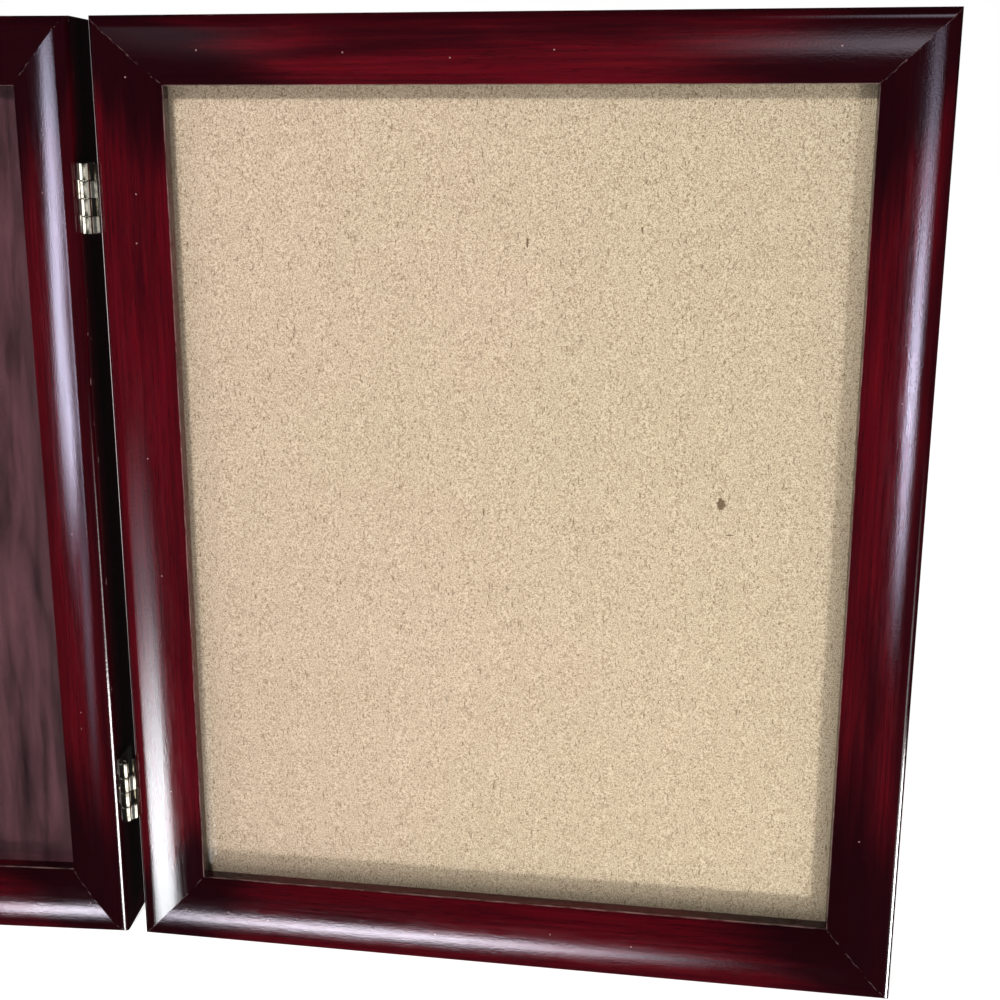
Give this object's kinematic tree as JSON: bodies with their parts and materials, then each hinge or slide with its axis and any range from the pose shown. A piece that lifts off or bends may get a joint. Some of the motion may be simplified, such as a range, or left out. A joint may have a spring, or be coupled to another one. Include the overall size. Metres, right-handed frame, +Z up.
{
  "type": "hinged double photo frame",
  "caption": "Hinged double photo frame: glazed, mitred lacquered-wood wings that fold like a book on small butt hinges, with backing boards held by turn buttons.",
  "frame": {"origin": "on the surface it stands on, under the middle of the standing frame's box", "axes": "+Z up along the hinge axis, +X to the right seen from the front, fronts of both wings facing -Y"},
  "size_m": [0.4626, 0.0278, 0.2788],
  "materials": {
    "lacquered_wood": "dark red cherry stain under gloss lacquer, lightly worn on the arrises",
    "clear_glass": "clear picture glass",
    "fibreboard": "raw tan fibreboard with dark fibre flecks",
    "dark_card": "plain dark brown card",
    "nickel_plate": "pale nickel plate, a little yellowed",
    "plated_steel": "bright zinc plate",
    "plain_steel": "bare spring steel"
  },
  "bodies": {
    "right_wing": {"right_hinge_stile": "lacquered_wood", "right_top_rail": "lacquered_wood", "right_outer_stile": "lacquered_wood", "right_bottom_rail": "lacquered_wood", "right_glass": "clear_glass", "right_backing_board": "fibreboard", "right_corner_nails": "plain_steel", "right_button_screws": "plated_steel", "right_hinge_screws": "nickel_plate", "upper_hinge_right_leaf": "nickel_plate", "lower_hinge_right_leaf": "nickel_plate", "upper_hinge_pin": "nickel_plate", "lower_hinge_pin": "nickel_plate"},
    "left_wing": {"left_hinge_stile": "lacquered_wood", "left_top_rail": "lacquered_wood", "left_outer_stile": "lacquered_wood", "left_bottom_rail": "lacquered_wood", "left_glass": "clear_glass", "left_backing_board": "fibreboard", "left_corner_nails": "plain_steel", "left_button_screws": "plated_steel", "left_hinge_screws": "nickel_plate", "upper_hinge_left_leaf": "nickel_plate", "lower_hinge_left_leaf": "nickel_plate", "left_insert_sheet": "dark_card"},
    "right_hinge_stile_button": {"right_hinge_stile_button": "plated_steel"},
    "right_outer_stile_button": {"right_outer_stile_button": "plated_steel"},
    "left_hinge_stile_button": {"left_hinge_stile_button": "plated_steel"},
    "left_outer_stile_button": {"left_outer_stile_button": "plated_steel"}
  },
  "joints": [
    {"name": "wing_fold", "type": "hinge", "parent": "right_wing", "child": "left_wing", "pos_m": [0, -0.00628, 0.1394], "axis": [0, 0, 1], "range_deg": [-16, 176]},
    {"name": "right_hinge_stile_button_turn", "type": "hinge", "parent": "right_wing", "child": "right_hinge_stile_button", "pos_m": [0.00925, 0.01211, 0.1394], "axis": [0.0349, 0.9994, 0], "range_deg": [-90, 90]},
    {"name": "right_outer_stile_button_turn", "type": "hinge", "parent": "right_wing", "child": "right_outer_stile_button", "pos_m": [0.22552, 0.00456, 0.1394], "axis": [0.0349, 0.9994, 0], "range_deg": [-90, 90]},
    {"name": "left_hinge_stile_button_turn", "type": "hinge", "parent": "left_wing", "child": "left_hinge_stile_button", "pos_m": [-0.00925, 0.01211, 0.1394], "axis": [-0.0349, 0.9994, 0], "range_deg": [-90, 90]},
    {"name": "left_outer_stile_button_turn", "type": "hinge", "parent": "left_wing", "child": "left_outer_stile_button", "pos_m": [-0.22552, 0.00456, 0.1394], "axis": [-0.0349, 0.9994, 0], "range_deg": [-90, 90]}
  ]
}
